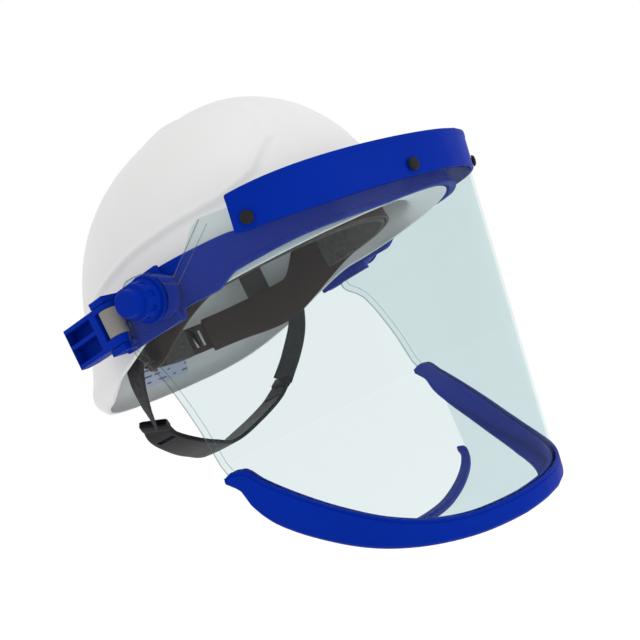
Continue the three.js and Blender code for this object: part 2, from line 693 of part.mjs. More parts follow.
function bottomTrim() {
  const marks = [...TRIM_HIGH, ...TRIM_LOW].map(([y]) => y);
  const ys = withMarks(planStations(LENS_PLAN, TRIM.tipY, 22, 0), marks, TRIM.tipY);
  const clear = LENS_WALL / 2 + GAP;
  const outer = clear + TRIM.wall;
  const section = (y) => {
    const low = trimLow(y);
    const high = trimHigh(y);
    const floor = Math.min(low + TRIM.floor, high - 0.4);
    const bevel = Math.min(TRIM.chamfer, (floor - low) * 1.2, (high - low) / 3);
    const ledge = -outer - trimLedge(y);
    return [
      [outer - bevel, low], [outer, low + bevel], [outer, high], [clear, high], [clear, floor],
      [-clear, floor], [-clear, high - 0.2], [-outer, high - 0.2], [-outer, floor + 0.1],
      [ledge, floor], [ledge - 0.1, low],
    ];
  };
  return wrapped(LENS_PLAN, ys, section);
}

// The free edge of the chin guard, an arc across the throat. share runs from -1 to 1.
function chinEdge(share, forward = 0) {
  const angle = (share * Math.PI) / 2;
  const bulge = Math.cos(angle) ** (2 / CHIN_EDGE.round);
  const x = CHIN_EDGE.halfWidth * signedPower(Math.sin(angle), 2 / CHIN_EDGE.round);
  return [x, CHIN_EDGE.rearY - CHIN_EDGE.depth * bulge - forward, CHIN_EDGE.rearZ - CHIN_EDGE.drop * bulge];
}

// The guard's outer edge, which rests on the trim's ledge.
function guardOuter(share) {
  const reach = GUARD_REAR_Y - LENS_FRONT_Y;
  const angle = (Math.abs(share) * Math.PI) / 2;
  const y = LENS_FRONT_Y + reach * (1 - Math.cos(angle) ** (2 / LENS_PLAN.roundY));
  const inward = -(LENS_WALL / 2 + GAP + TRIM.wall + trimLedge(y) + 0.6);
  const [x, py] = planPoint(LENS_PLAN, Math.sign(share) || 1, y, inward);
  return [Math.abs(share) < 1e-6 ? 0 : x, py, trimLow(y) + TRIM.floor];
}

function chinGuard() {
  const across = 24;
  const deep = 4;
  const thickness = 1.5;
  const sections = [];
  for (let i = 0; i <= across; i++) {
    const share = (2 * i) / across - 1;
    const outer = guardOuter(share);
    const inner = chinEdge(share, CHIN_RIM.width / 2 + GAP);
    const line = [];
    for (let k = 0; k <= deep; k++) {
      const t = k / deep;
      const sag = -5 * t * (1 - t);
      line.push(outer.map((value, axis) => value + (inner[axis] - value) * t + (axis === 2 ? sag : 0)));
    }
    const under = line.map(([x, y, z]) => [x, y, z - thickness]).reverse();
    sections.push([...line, ...under]);
  }
  const flat = [];
  for (let k = 0; k <= deep; k++) flat.push([k, 1]);
  for (let k = deep; k >= 0; k--) flat.push([k, 0]);
  return ribbon(sections, flat);
}

function chinGuardTrim() {
  const sections = [];
  const steps = 26;
  const half = CHIN_RIM.width / 2;
  const tall = CHIN_RIM.height / 2;
  for (let i = 0; i <= steps; i++) {
    const share = (2 * i) / steps - 1;
    const [x, y, z] = chinEdge(share);
    const middle = z - 0.7;
    sections.push([
      [x, y - half, middle - tall], [x, y + half, middle - tall],
      [x, y + half, middle + tall], [x, y - half, middle + tall],
    ]);
  }
  return ribbon(sections, [[0, 0], [1, 0], [1, 1], [0, 1]]);
}

// ---------------------------------------------------------------- pivot hardware
// Outboard of the end plate come the boss, the visor's tab, the outer washer and the knob.
const STACK = {
  bossIn: 109.4, bossOut: 118.1, washerIn: 120.3, washerOut: 121.9,
  collarIn: 122.2, collarOut: 130.5, capOut: 137.6,
};

function onPivot(geometry) {
  return geometry.translate(0, PIVOT.y, PIVOT.z);
}

function pivotBolt(side) {
  const head = rod("x", [side * 102, 0, 0], 5.6, 1.6, 6);
  const shank = rod("x", [side * 114.6, 0, 0], BOLT_RADIUS - 0.1, 25, 20);
  return onPivot(join(head, shank));
}

function disc(side, from, to, radius) {
  const middle = [(side * (from + to)) / 2, 0, 0];
  return onPivot(cut(rod("x", middle, radius, to - from, 36), rod("x", middle, BOLT_RADIUS + GAP, 20, 20)));
}

function knob(side) {
  const { collarIn, collarOut, capOut } = STACK;
  const profile = [
    [0, collarIn], [KNOB.collarRadius + 0.8, collarIn], [KNOB.collarRadius + 0.8, collarIn + 1.6],
    [KNOB.collarRadius, collarIn + 2], [KNOB.collarRadius - 0.6, collarOut], [KNOB.capRadius, collarOut + 0.6],
    [KNOB.capRadius - 0.3, capOut - 0.8], [KNOB.capRadius - 1.1, capOut], [0, capOut],
  ];
  const turned = new THREE.LatheGeometry(profile.map(([r, h]) => new THREE.Vector2(r, h)), 32);
  turned.rotateZ((-side * Math.PI) / 2);
  const tools = [rod("x", [side * collarIn, 0, 0], BOLT_RADIUS + GAP, 12)];
  for (let i = 0; i < KNOB.flutes; i++) {
    const low = [collarIn + 3, -1.6, KNOB.collarRadius - 0.9];
    const flute = mirroredBox(side, low, [collarOut - 1.4, 1.6, 14]);
    tools.push(flute.rotateX((2 * Math.PI * i) / KNOB.flutes));
  }
  return onPivot(cut(turned, ...tools));
}

// ---------------------------------------------------------------- assembly
const faceShield = new THREE.Group();
const helmetGroup = new THREE.Group();
const visorGroup = new THREE.Group();
visorGroup.rotation.x = VISOR_TUCK;
faceShield.add(helmetGroup, visorGroup);

function add(group, name, geometry, finish) {
  const mesh = new THREE.Mesh(geometry, material(finish));
  mesh.name = name;
  group.add(mesh);
}

add(helmetGroup, "helmet_shell", helmetShell(), "white");
add(helmetGroup, "headband", headbandFront(), "dark");
add(helmetGroup, "nape_band", napeBand(), "dark");
add(helmetGroup, "nape_pad", napePad(), "pad");
add(helmetGroup, "front_sweatband", sweatband(), "pad");
add(helmetGroup, "crown_ring", crownRing(), "dark");
for (const [place, turn] of Object.entries(CLIP_TURNS)) {
  add(helmetGroup, `crown_strap_${place}`, crownStrap(turn), "dark");
  add(helmetGroup, `suspension_clip_${place}`, suspensionClip(turn), "dark");
}
add(helmetGroup, "information_sheet", informationSheet(), "sheet");
add(helmetGroup, "carrier_bracket", carrierBracket(), "blue");
add(helmetGroup, "chin_cup", chinCup(), "black");

add(visorGroup, "visor_lens", visorLens(), "clear");
add(visorGroup, "top_band", topBand(), "blue");
add(visorGroup, "bottom_trim", bottomTrim(), "blue");
add(visorGroup, "chin_guard", chinGuard(), "clear");
add(visorGroup, "chin_guard_trim", chinGuardTrim(), "blue");
for (const place of rivetPlaces()) add(visorGroup, `band_rivet_${place.label}`, rivet(place), "black");

for (const [name, side] of Object.entries(SIDES)) {
  add(helmetGroup, `chin_strap_${name}`, chinStrap(side), "black");
  add(helmetGroup, `strap_anchor_${name}`, strapAnchor(side), "dark");
  add(helmetGroup, `end_plate_${name}`, endPlate(side), "blue");
  add(helmetGroup, `clamp_lever_${name}`, clampLever(side), "blue");
  add(helmetGroup, `lever_pin_${name}`, leverPin(side), "steel");
  add(helmetGroup, `grip_roller_${name}`, gripRoller(side), "elastic");
  add(helmetGroup, `pivot_bolt_${name}`, pivotBolt(side), "steel");
  add(helmetGroup, `pivot_boss_${name}`, disc(side, STACK.bossIn, STACK.bossOut, 12), "blue");
  add(helmetGroup, `outer_washer_${name}`, disc(side, STACK.washerIn, STACK.washerOut, KNOB.washerRadius), "blue");
  add(helmetGroup, `clamp_knob_${name}`, knob(side), "blue");
}

export default faceShield;
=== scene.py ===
"""Looks of the helmet-mounted face shield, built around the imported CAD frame.

Row frame: +Z up as worn, the wearer faces -Y, origin at the middle of the head. Sizes here are in
millimetres and are turned into metres when a mesh is made."""

import json
import math

import bmesh
import bpy
import numpy as np
from mathutils import Matrix, Vector


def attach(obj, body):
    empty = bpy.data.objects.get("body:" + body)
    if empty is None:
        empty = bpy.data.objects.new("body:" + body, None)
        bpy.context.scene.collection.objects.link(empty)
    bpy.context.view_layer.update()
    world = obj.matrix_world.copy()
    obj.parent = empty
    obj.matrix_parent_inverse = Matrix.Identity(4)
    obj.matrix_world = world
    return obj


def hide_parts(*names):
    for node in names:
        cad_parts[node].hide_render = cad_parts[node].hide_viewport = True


MM = 0.001
SIDES = {"right": -1, "left": 1}
TUCK = math.radians(12)  # the visor leans back towards the chin by this angle
GAP = 0.3  # clearance between neighbouring pieces

# Plan outlines, seen from above: widest at centre, rounded towards -Y, straight back to flat, where a
# plan with a pinch starts to close in.
LENS_PLAN = {"half": 119.2, "depth": 118, "centre": -23, "rx": 1.8, "ry": 1.7, "flat": 5, "pinch": 0.0228}
ARM_PLAN = {"half": 106, "depth": 128, "centre": -3, "rx": 1.8, "ry": 1.7, "flat": 40, "pinch": 0}
PEAK_PLAN = {"half": 101.4, "depth": 123.8, "centre": -3, "rx": 1.8, "ry": 1.7}

SHELL = {"half": 103, "front": 96, "rear": 139, "centre": -3, "base": -57, "height": 163.5, "wall": 2.6}
SHELL_PLAN_POWER = 2.27
SHELL_RISE_POWER = 2.56
CROWN_Z = SHELL["base"] + SHELL["height"]
SKIRT = {"flare": 17, "from_y": 38, "top": 18}  # the rear wall slants outwards towards the rim
RIM_TUCK = {"depth": 10, "height": 14, "from_y": 62, "over_y": 30}  # the rim rolls under at the rear
PEAK_RISE = {"outer": 26, "inner": 10.4}  # the peak runs out into the dome this far above the rim

LENS_WALL = 1.5
LENS_FRONT = LENS_PLAN["centre"] - LENS_PLAN["depth"]
PIVOT_REACH = -6  # the tilt axis crosses the visor's own frame here
PIVOT = Vector((0, PIVOT_REACH * math.cos(TUCK), PIVOT_REACH * math.sin(TUCK)))
BOLT_BORE = 3.3

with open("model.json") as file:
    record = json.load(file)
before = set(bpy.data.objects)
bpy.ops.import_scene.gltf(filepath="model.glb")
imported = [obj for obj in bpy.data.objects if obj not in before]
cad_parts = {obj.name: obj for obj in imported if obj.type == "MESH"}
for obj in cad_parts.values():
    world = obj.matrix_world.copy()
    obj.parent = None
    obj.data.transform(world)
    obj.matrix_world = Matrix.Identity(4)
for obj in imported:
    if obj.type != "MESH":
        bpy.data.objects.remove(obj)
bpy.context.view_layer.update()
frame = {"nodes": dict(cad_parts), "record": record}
NODES = frame["nodes"]


# ---------------------------------------------------------------- small maths
def clamp01(value):
    return max(0.0, min(1.0, value))


def smooth_step(value, low, high):
    share = clamp01((value - low) / (high - low))
    return share * share * (3 - 2 * share)


def signed_power(value, power):
    return math.copysign(abs(value) ** power, value)


def along(marks, y):
    """The value at y on a line through marks, which run from the rear (large y) to the front."""
    if y >= marks[0][0]:
        return marks[0][1]
    for (y0, v0), (y1, v1) in zip(marks, marks[1:]):
        if y >= y1:
            return v0 + (v1 - v0) * (y0 - y) / (y0 - y1)
    return marks[-1][1]


def hermite(start, start_slope, end, end_slope, t):
    """The cubic from start to end, with slopes measured per unit of t."""
    return (
        start * (2 * t**3 - 3 * t**2 + 1) + start_slope * (t**3 - 2 * t**2 + t)
        + end * (3 * t**2 - 2 * t**3) + end_slope * (t**3 - t**2)
    )


def smooth_along(marks, y):
    """Like along, on a curve that rounds the corners but never overshoots a mark."""
    ys = [m[0] for m in marks]
    zs = [m[1] for m in marks]
    if y >= ys[0] or y <= ys[-1]:
        return along(marks, y)
    slopes = [(zs[i + 1] - zs[i]) / (ys[i + 1] - ys[i]) for i in range(len(marks) - 1)]
    tangents = [slopes[0]]
    for a, b in zip(slopes, slopes[1:]):
        tangents.append(2 * a * b / (a + b) if a * b > 0 else 0)
    tangents.append(slopes[-1])
    k = next(i for i in range(len(marks) - 1) if y >= ys[i + 1])
    run = ys[k + 1] - ys[k]
    return hermite(zs[k], run * tangents[k], zs[k + 1], run * tangents[k + 1], (y - ys[k]) / run)


# ---------------------------------------------------------------- meshes
def add_object(name, mesh):
    made = bpy.data.objects.new(name, mesh)
    bpy.context.scene.collection.objects.link(made)
    return made


def new_mesh(name, points, faces, material, crease=35):
    """A mesh object from points in millimetres, smooth but for edges sharper than crease degrees."""
    mesh = bpy.data.meshes.new(name)
    mesh.from_pydata([tuple(c * MM for c in p) for p in points], [], faces)
    bm = bmesh.new()
    bm.from_mesh(mesh)
    bmesh.ops.remove_doubles(bm, verts=bm.verts, dist=1e-6)
    bmesh.ops.recalc_face_normals(bm, faces=bm.faces)
    mark_smooth(bm, crease)
    bm.to_mesh(mesh)
    bm.free()
    mesh.materials.append(material)
    return add_object(name, mesh)


def mark_smooth(bm, crease):
    limit = math.radians(crease)
    for face in bm.faces:
        face.smooth = True
    for edge in bm.edges:
        edge.smooth = not edge.is_manifold or edge.calc_face_angle(0) < limit


def ring_faces(count, size):
    """The quads between rings of size points each, one ring after the other."""
    faces = []
    for here in range(0, (count - 1) * size, size):
        for k in range(size):
            after = (k + 1) % size
            faces.append((here + k, here + size + k, here + size + after, here + after))
    return faces


def ribbon(name, sections, material, crease=35):
    """A solid through a row of sections with the same number of corners, closed at both ends."""
    count, size = len(sections), len(sections[0])
    points = [p for section in sections for p in section]
    ends = [tuple(range(size)), tuple(range((count - 1) * size, count * size))[::-1]]
    return new_mesh(name, points, ring_faces(count, size) + ends, material, crease)


def rounded(profile, radii, steps=3):
    """A closed 2-D outline with each corner turned into an arc of its own radius."""
    out = []
    count = len(profile)
    for i, (corner, radius) in enumerate(zip(profile, radii)):
        here = Vector(corner)
        before, after = Vector(profile[i - 1]) - here, Vector(profile[(i + 1) % count]) - here
        reach = min(radius, before.length * 0.48, after.length * 0.48)
        start, end = here + before.normalized() * reach, here + after.normalized() * reach
        for k in range(steps + 1):
            t = k / steps
            out.append(start * (1 - t) ** 2 + here * 2 * t * (1 - t) + end * t * t)
    return out


def bevel_edges(bm, angle, width, segments, profile):
    """Rounds the edges that turn by more than angle degrees."""
    edges = [e for e in bm.edges if e.is_manifold and e.calc_face_angle(0) > math.radians(angle)]
    bmesh.ops.bevel(
        bm, geom=edges, offset=width * MM, segments=segments, profile=profile, affect="EDGES",
        clamp_overlap=True,
    )


def bevelled(node, name, width, material):
    """A copy of a CAD node's mesh with its corners rounded, which stands for the node."""
    bm = bmesh.new()
    bm.from_mesh(NODES[node].data)
    bmesh.ops.remove_doubles(bm, verts=bm.verts, dist=2e-6)
    bmesh.ops.dissolve_limit(bm, angle_limit=math.radians(1.2), verts=bm.verts, edges=bm.edges)
    bevel_edges(bm, 28, width, 3, 0.6)
    mark_smooth(bm, 35)
    mesh = bpy.data.meshes.new(name)
    bm.to_mesh(mesh)
    bm.free()
    mesh.materials.append(material)
    made = add_object(name, mesh)
    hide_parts(node)
    return made


def cut_away(made, fill):
    """Takes the closed shapes that fill(bm) adds to a bmesh out of a piece."""
    bm = bmesh.new()
    fill(bm)
    mesh = bpy.data.meshes.new("cutter")
    bm.to_mesh(mesh)
    bm.free()
    tool = add_object("cutter", mesh)
    step = made.modifiers.new("cut", "BOOLEAN")
    step.operation = "DIFFERENCE"
    step.solver = "EXACT"
    step.object = tool
    bpy.context.view_layer.update()
    graph = bpy.context.evaluated_depsgraph_get()
    result = bpy.data.meshes.new_from_object(made.evaluated_get(graph))
    made.modifiers.clear()
    made.data = result
    bpy.data.objects.remove(tool)


def finish(made, body, slot, *nodes):
    """Puts a piece on its body and hides the CAD nodes that it stands for. The slot argument is not used.
    """
    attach(made, body)
    if nodes:
        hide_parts(*nodes)


# ---------------------------------------------------------------- materials
def shader(name, colour, roughness, **sockets):
    material = bpy.data.materials.new(name)
    material.use_nodes = True
    tree = material.node_tree
    surface = tree.nodes["Principled BSDF"]
    surface.inputs["Base Color"].default_value = (*colour, 1)
    surface.inputs["Roughness"].default_value = roughness
    for socket, value in sockets.items():
        surface.inputs[socket.replace("_", " ")].default_value = value
    return material, tree, surface


def object_coordinates(tree, stretch=(1, 1, 1)):
    source = tree.nodes.new("ShaderNodeTexCoord")
    mapping = tree.nodes.new("ShaderNodeMapping")
    mapping.inputs["Scale"].default_value = stretch
    tree.links.new(source.outputs["Object"], mapping.inputs["Vector"])
    return mapping.outputs["Vector"]


def noise(tree, vector, scale, detail):
    node = tree.nodes.new("ShaderNodeTexNoise")
    node.inputs["Scale"].default_value = scale
    node.inputs["Detail"].default_value = detail
    node.inputs["Roughness"].default_value = 0.55
    tree.links.new(vector, node.inputs["Vector"])
    return node.outputs["Fac"]


def ramp(tree, fac, low, high, start=0.3, end=0.7):
    node = tree.nodes.new("ShaderNodeValToRGB")
    node.color_ramp.elements[0].position = start
    node.color_ramp.elements[0].color = (*low, 1)
    node.color_ramp.elements[1].position = end
    node.color_ramp.elements[1].color = (*high, 1)
    tree.links.new(fac, node.inputs["Fac"])
    return node.outputs["Color"]


def spread(tree, fac, low, high):
    """A factor from 0 to 1 mapped onto low to high."""
    node = tree.nodes.new("ShaderNodeMapRange")
    node.inputs["To Min"].default_value = low
    node.inputs["To Max"].default_value = high
    tree.links.new(fac, node.inputs["Value"])
    return node.outputs["Result"]


def arithmetic(tree, operation, first, second):
    """A Math node on one output and a number, or on two outputs."""
    node = tree.nodes.new("ShaderNodeMath")
    node.operation = operation
    tree.links.new(first, node.inputs[0])
    if isinstance(second, float):
        node.inputs[1].default_value = second
    else:
        tree.links.new(second, node.inputs[1])
    return node.outputs[0]


def bump(tree, surface, height, strength, distance):
    node = tree.nodes.new("ShaderNodeBump")
    node.inputs["Strength"].default_value = strength
    node.inputs["Distance"].default_value = distance
    tree.links.new(height, node.inputs["Height"])
    tree.links.new(node.outputs["Normal"], surface.inputs["Normal"])


def moulded(name, colour, roughness, grain=900, strength=0.12, vary=0.06, **sockets):
    """Moulded plastic: a fine spark-eroded grain, cloudy colour and slightly uneven gloss."""
    material, tree, surface = shader(name, colour, roughness, **sockets)
    vector = object_coordinates(tree)
    dark = tuple(c * (1 - vary) for c in colour)
    light = tuple(min(1, c * (1 + vary)) for c in colour)
    cloud = ramp(tree, noise(tree, vector, 14, 3), dark, light)
    tree.links.new(cloud, surface.inputs["Base Color"])
    gloss = spread(tree, noise(tree, vector, 60, 5), roughness - 0.05, roughness + 0.07)
    tree.links.new(gloss, surface.inputs["Roughness"])
    bump(tree, surface, noise(tree, vector, grain, 2), strength, 0.0002)
    return material


def woven(name, colour, roughness, pitch=1100, strength=0.5):
    """Tape or cloth: two crossed rows of yarn and a little fuzz."""
    material, tree, surface = shader(name, colour, roughness, Specular_IOR_Level=0.15)
    vector = object_coordinates(tree)
    rows = []
    for direction in ("X", "Z"):
        wave = tree.nodes.new("ShaderNodeTexWave")
        wave.bands_direction = direction
        wave.inputs["Scale"].default_value = pitch / 3
        wave.inputs["Distortion"].default_value = 0.6
        tree.links.new(vector, wave.inputs["Vector"])
        rows.append(wave.outputs["Fac"])
    dark = tuple(c * 0.6 for c in colour)
    light = tuple(min(1, c * 1.5 + 0.004) for c in colour)
    fuzz = ramp(tree, noise(tree, vector, 400, 5), dark, light, 0.25, 0.75)
    tree.links.new(fuzz, surface.inputs["Base Color"])
    bump(tree, surface, arithmetic(tree, "MULTIPLY", *rows), strength, 0.0004)
    return material


def brushed(name, colour):
    """Turned metal with fine streaks."""
    material, tree, surface = shader(name, colour, 0.3, Metallic=1.0)
    vector = object_coordinates(tree, (1, 30, 30))
    streak = noise(tree, vector, 120, 3)
    tree.links.new(spread(tree, streak, 0.22, 0.42), surface.inputs["Roughness"])
    bump(tree, surface, streak, 0.15, 0.0001)
    return material


def clear_sheet(name, tint, veil, share, roughness):
    """A clear moulded sheet, seen through by a tinted Transparent shader with a thin glossy veil on it."""
    material, tree, surface = shader(name, veil, roughness, Specular_IOR_Level=0.6)
    vector = object_coordinates(tree)
    gloss = spread(tree, noise(tree, vector, 25, 3), roughness, roughness + 0.05)
    tree.links.new(gloss, surface.inputs["Roughness"])
    bump(tree, surface, noise(tree, vector, 9, 1), 0.02, 0.001)
    clear = tree.nodes.new("ShaderNodeBsdfTransparent")
    clear.inputs["Color"].default_value = (*tint, 1)
    mix = tree.nodes.new("ShaderNodeMixShader")
    mix.inputs["Fac"].default_value = share
    tree.links.new(clear.outputs[0], mix.inputs[1])
    tree.links.new(surface.outputs[0], mix.inputs[2])
    tree.links.new(mix.outputs[0], tree.nodes["Material Output"].inputs["Surface"])
    return material


def sheet_with_rows(name):
    """A plain printed sheet: pale blue-grey film with rows of generic dark bars, no lettering."""
    row_pitch, bar_height, bar_share = 0.0021, 0.0006, 0.47
    material, tree, surface = shader(name, (0.5, 0.55, 0.68), 0.5)
    vector = object_coordinates(tree)
    split = tree.nodes.new("ShaderNodeSeparateXYZ")
    tree.links.new(vector, split.inputs[0])
    rows = arithmetic(tree, "PINGPONG", split.outputs["Z"], row_pitch)
    bars = arithmetic(tree, "LESS_THAN", rows, bar_height)
    lengths = noise(tree, object_coordinates(tree, (1, 1, 0.01)), 160, 0)
    gaps = arithmetic(tree, "GREATER_THAN", lengths, bar_share)
    ink = arithmetic(tree, "MULTIPLY", bars, gaps)
    colour = ramp(tree, ink, (0.46, 0.51, 0.64), (0.1, 0.12, 0.22), 0.4, 0.6)
    tree.links.new(colour, surface.inputs["Base Color"])
    gloss = spread(tree, noise(tree, vector, 80, 2), 0.4, 0.55)
    tree.links.new(gloss, surface.inputs["Roughness"])
    return material


BLUE = moulded("blue_moulding", (0.0, 0.018, 0.275), 0.45, Specular_IOR_Level=0.03)
WHITE = moulded(
    "white_shell", (0.69, 0.688, 0.685), 0.38, grain=500, strength=0.04, vary=0.012, Specular_IOR_Level=0.25
)
HARNESS = moulded("harness_brown", (0.046, 0.025, 0.021), 0.5, vary=0.12, Specular_IOR_Level=0.12)
BLACK = moulded("black_moulding", (0.007, 0.007, 0.009), 0.42, vary=0.15, Specular_IOR_Level=0.08)
RIVET = moulded(
    "rivet_black", (0.012, 0.011, 0.011), 0.55, grain=1400, strength=0.3, vary=0.2, Specular_IOR_Level=0.15
)
GRIP = moulded("grip_rubber", (0.2, 0.19, 0.175), 0.7, grain=700, strength=0.35, vary=0.08)
TAPE = woven("black_tape", (0.03, 0.03, 0.032), 0.75)
TAPE_DARK = woven("harness_tape", (0.045, 0.034, 0.032), 0.8)
PAD = woven("brow_pad", (0.08, 0.07, 0.062), 0.9, pitch=2600, strength=0.2)
STEEL = brushed("steel", (0.55, 0.56, 0.57))
CLEAR = clear_sheet("clear_sheet", (0.906, 0.949, 0.952), (0.2, 0.22, 0.23), 0.045, 0.05)
# painted shade: a darker tint than the lens, for the lines along the lens's cut edge and bead
PAINTED_EDGE_SHADE = clear_sheet("clear_edge_painted_shade", (0.74, 0.78, 0.79), (0.3, 0.33, 0.34), 0.12, 0.15)
SHEET = sheet_with_rows("information_sheet")


# ---------------------------------------------------------------- plan outlines
def plan_x(plan, y):
    """Half the outline's width at y."""
    if y >= plan["centre"]:
        return plan["half"] - plan["pinch"] * max(0, y - plan["flat"]) ** 2
    reach = min(1, (plan["centre"] - y) / plan["depth"])
    return plan["half"] * (1 - reach ** plan["ry"]) ** (1 / plan["rx"])


def plan_point(plan, side, y, offset):
    """A point on the outline at this y and side, moved outwards by offset."""
    front = plan["centre"] - plan["depth"]
    if y <= front + 1e-6:
        return 0.0, front - offset
    step = min(0.5, (y - front) / 4)
    slope = (plan_x(plan, y + step) - plan_x(plan, y - step)) / (2 * step)
    length = math.hypot(1, slope)
    return side * (plan_x(plan, y) + offset / length), y - offset * slope / length


def plan_stations(plan, rear, turns, legs):
    """The y values along one side, from the rear to the front, even in turning."""
    centre, depth = plan["centre"], plan["depth"]
    straight = [rear + (centre - rear) * i / legs for i in range(legs)] if rear > centre else []
    bows = [math.sin(math.pi / 2 * i / turns) ** (2 / plan["ry"]) for i in range(turns)]
    return straight + [centre - depth * bow for bow in bows if centre - depth * bow < rear]


def wrapped(name, plan, ys, section, material, end_round=0.0, lean=True, crease=35):
    """A wall round the plan from one rear end to the other; section(y) is its outline as (offset, z)."""
    def place(side, y):
        points = []
        for offset, z in section(y):
            x, py = plan_point(plan, side, y, offset)
            points.append(worn(x, py, z) if lean else (x, py, z))
        return points

    right = [place(-1, y) for y in ys]
    left = [place(1, y) for y in reversed(ys)]
    sections = [*right, place(1, plan["centre"] - plan["depth"]), *left]
    if end_round:
        sections = round_ends(sections, end_round)
    return ribbon(name, sections, material, crease)


def round_ends(sections, radius, steps=3):
    """Extra sections past both ends, drawn in towards their middle along a quarter circle."""
    def tail(end, inner):
        end, inner = np.array(end), np.array(inner)
        run = (end - inner).mean(0)
        run /= np.linalg.norm(run)
        middle = end.mean(0)
        extra = []
        for k in range(1, steps + 1):
            angle = math.pi / 2 * k / steps
            pull = radius * (1 - math.cos(angle))
            away = end - middle
            length = np.linalg.norm(away, axis=1, keepdims=True)
            drawn_in = end - away / length * np.minimum(pull, length * 0.7)
            extra.append((drawn_in + run * radius * math.sin(angle)).tolist())
        return extra

    return tail(sections[0], sections[1])[::-1] + sections + tail(sections[-1], sections[-2])


def worn(x, y, z):
    """A point of the visor's own leaning frame, as worn."""
    return x, y * math.cos(TUCK) - z * math.sin(TUCK), y * math.sin(TUCK) + z * math.cos(TUCK)


# ---------------------------------------------------------------- camera, light, floor
def camera():
    """A slightly long lens, low on the wearer's right."""
    place = Vector((-432.75, -283.92, -82.14)) * MM
    right = Vector((0.49604, -0.73976, -0.45464))
    up = Vector((0.18123, -0.42386, 0.88741))
    ahead = Vector((0.84918, 0.52260, 0.07619))
    data = bpy.data.cameras.new("camera")
    data.lens = 46.125
    data.sensor_width = 36
    data.clip_start = 0.01
    made = add_object("camera", data)
    turn = Matrix((right, up, -ahead)).transposed().to_4x4()
    made.matrix_world = Matrix.Translation(place) @ turn
    bpy.context.scene.camera = made


def area_light(name, place, size, power, target):
    data = bpy.data.lights.new(name, "AREA")
    data.energy = power
    data.size = size
    made = add_object(name, data)
    made.location = place
    made.rotation_euler = (Vector(target) - Vector(place)).to_track_quat("-Z", "Y").to_euler()


def studio():
    """A white backdrop and floor, a soft light from the front and a low one into the helmet."""
    scene = bpy.context.scene
    scene.world = bpy.data.worlds.new("studio")
    scene.world.use_nodes = True
    backdrop = scene.world.node_tree.nodes["Background"]
    backdrop.inputs["Color"].default_value = (1, 1, 1, 1)
    backdrop.inputs["Strength"].default_value = 1.0
    scene.view_settings.view_transform = "Standard"
    scene.view_settings.look = "None"
    area_light("key", (-0.5, -1.1, 1.4), 0.7, 3, (0, -0.04, -0.03))
    area_light("inside", (-0.2, -0.95, -0.34), 0.6, 2.6, (0, 0.08, 0))
    edge, low = 9.0, -0.42
    corners = [(-edge, -edge, low), (edge, -edge, low), (edge, edge, low), (-edge, edge, low)]
    mesh = bpy.data.meshes.new("floor")
    mesh.from_pydata(corners, [], [(0, 1, 2, 3)])
    glow = {"Emission_Color": (1, 1, 1, 1), "Emission_Strength": 0.025}
    pale, _, _ = shader("floor_pale", (0.99, 0.99, 0.99), 0.8, **glow)
    mesh.materials.append(pale)
    floor = add_object("floor", mesh)


# ---------------------------------------------------------------- helmet shell
def rim_z(y):
    return -10.5 - 24 * math.sin(math.pi / 2 * clamp01(y / 125)) ** 1.5 + 0.01 * min(0, y)


def dome_point(turn, z, inset):
    """The dome's outline at height z in the direction turn, 0 at the rear."""
    s, c = math.sin(turn), math.cos(turn)
    rise = clamp01((z - SHELL["base"]) / SHELL["height"])
    scale = (1 - rise**SHELL_RISE_POWER) ** (1 / SHELL_RISE_POWER)
    reach = (SHELL["rear"] if c > 0 else SHELL["front"]) - inset
    x = (SHELL["half"] - inset) * scale * signed_power(s, 2 / SHELL_PLAN_POWER)
    y = SHELL["centre"] + reach * scale * signed_power(c, 2 / SHELL_PLAN_POWER)
    back, down = clamp01((y - SKIRT["from_y"]) / 60), clamp01((SKIRT["top"] - z) / 60)
    skirt = SKIRT["flare"] * back**1.5 * down**1.6
    rolled = clamp01((y - RIM_TUCK["from_y"]) / RIM_TUCK["over_y"])
    tuck = RIM_TUCK["depth"] * rolled * clamp01(1 - (z - rim_z(y)) / RIM_TUCK["height"]) ** 2
    return x + (skirt - tuck) * s, y + (skirt - tuck) * c


def shell_point(turn, share, inner):
    """A point on the shell's outer or inner face, share of the way from the rim up to the crown."""
    inset = SHELL["wall"] if inner else 0
    rim = rim_z(dome_point(turn, rim_z(0), 0)[1])
    z = rim + (CROWN_Z - inset - rim) * math.sin(share * math.pi / 2)
    x, y = dome_point(turn, min(z + inset * share, CROWN_Z), inset)
    ahead = -math.cos(turn)
    if ahead <= 0:
        return Vector((x, y, z))
    peak_x = (PEAK_PLAN["half"] - inset) * signed_power(math.sin(turn), 2 / PEAK_PLAN["rx"])
    peak_y = PEAK_PLAN["centre"] - (PEAK_PLAN["depth"] - inset) * ahead ** (2 / PEAK_PLAN["ry"])
    flare = max(0, 1 - (z - rim) / PEAK_RISE["inner" if inner else "outer"]) ** 2
    return Vector((x + (peak_x - x) * flare, y + (peak_y - y) * flare, z))


# The raised ridge on each side as (y, z): over the crown from the rear, down in front, and back above
# the rim. The shell outside it is stepped inwards by PANEL_STEP.
RIDGE = [
    (40, 104), (0, 101), (-25, 94), (-37, 94), (-46, 92), (-57, 85), (-68, 70), (-72, 54), (-65, 38),
    (-60, 35), (-47, 31), (-21, 32), (11.5, 32.5), (27, 31), (60, 26), (90, 18), (112, 6),
]
PANEL_STEP = 1.5


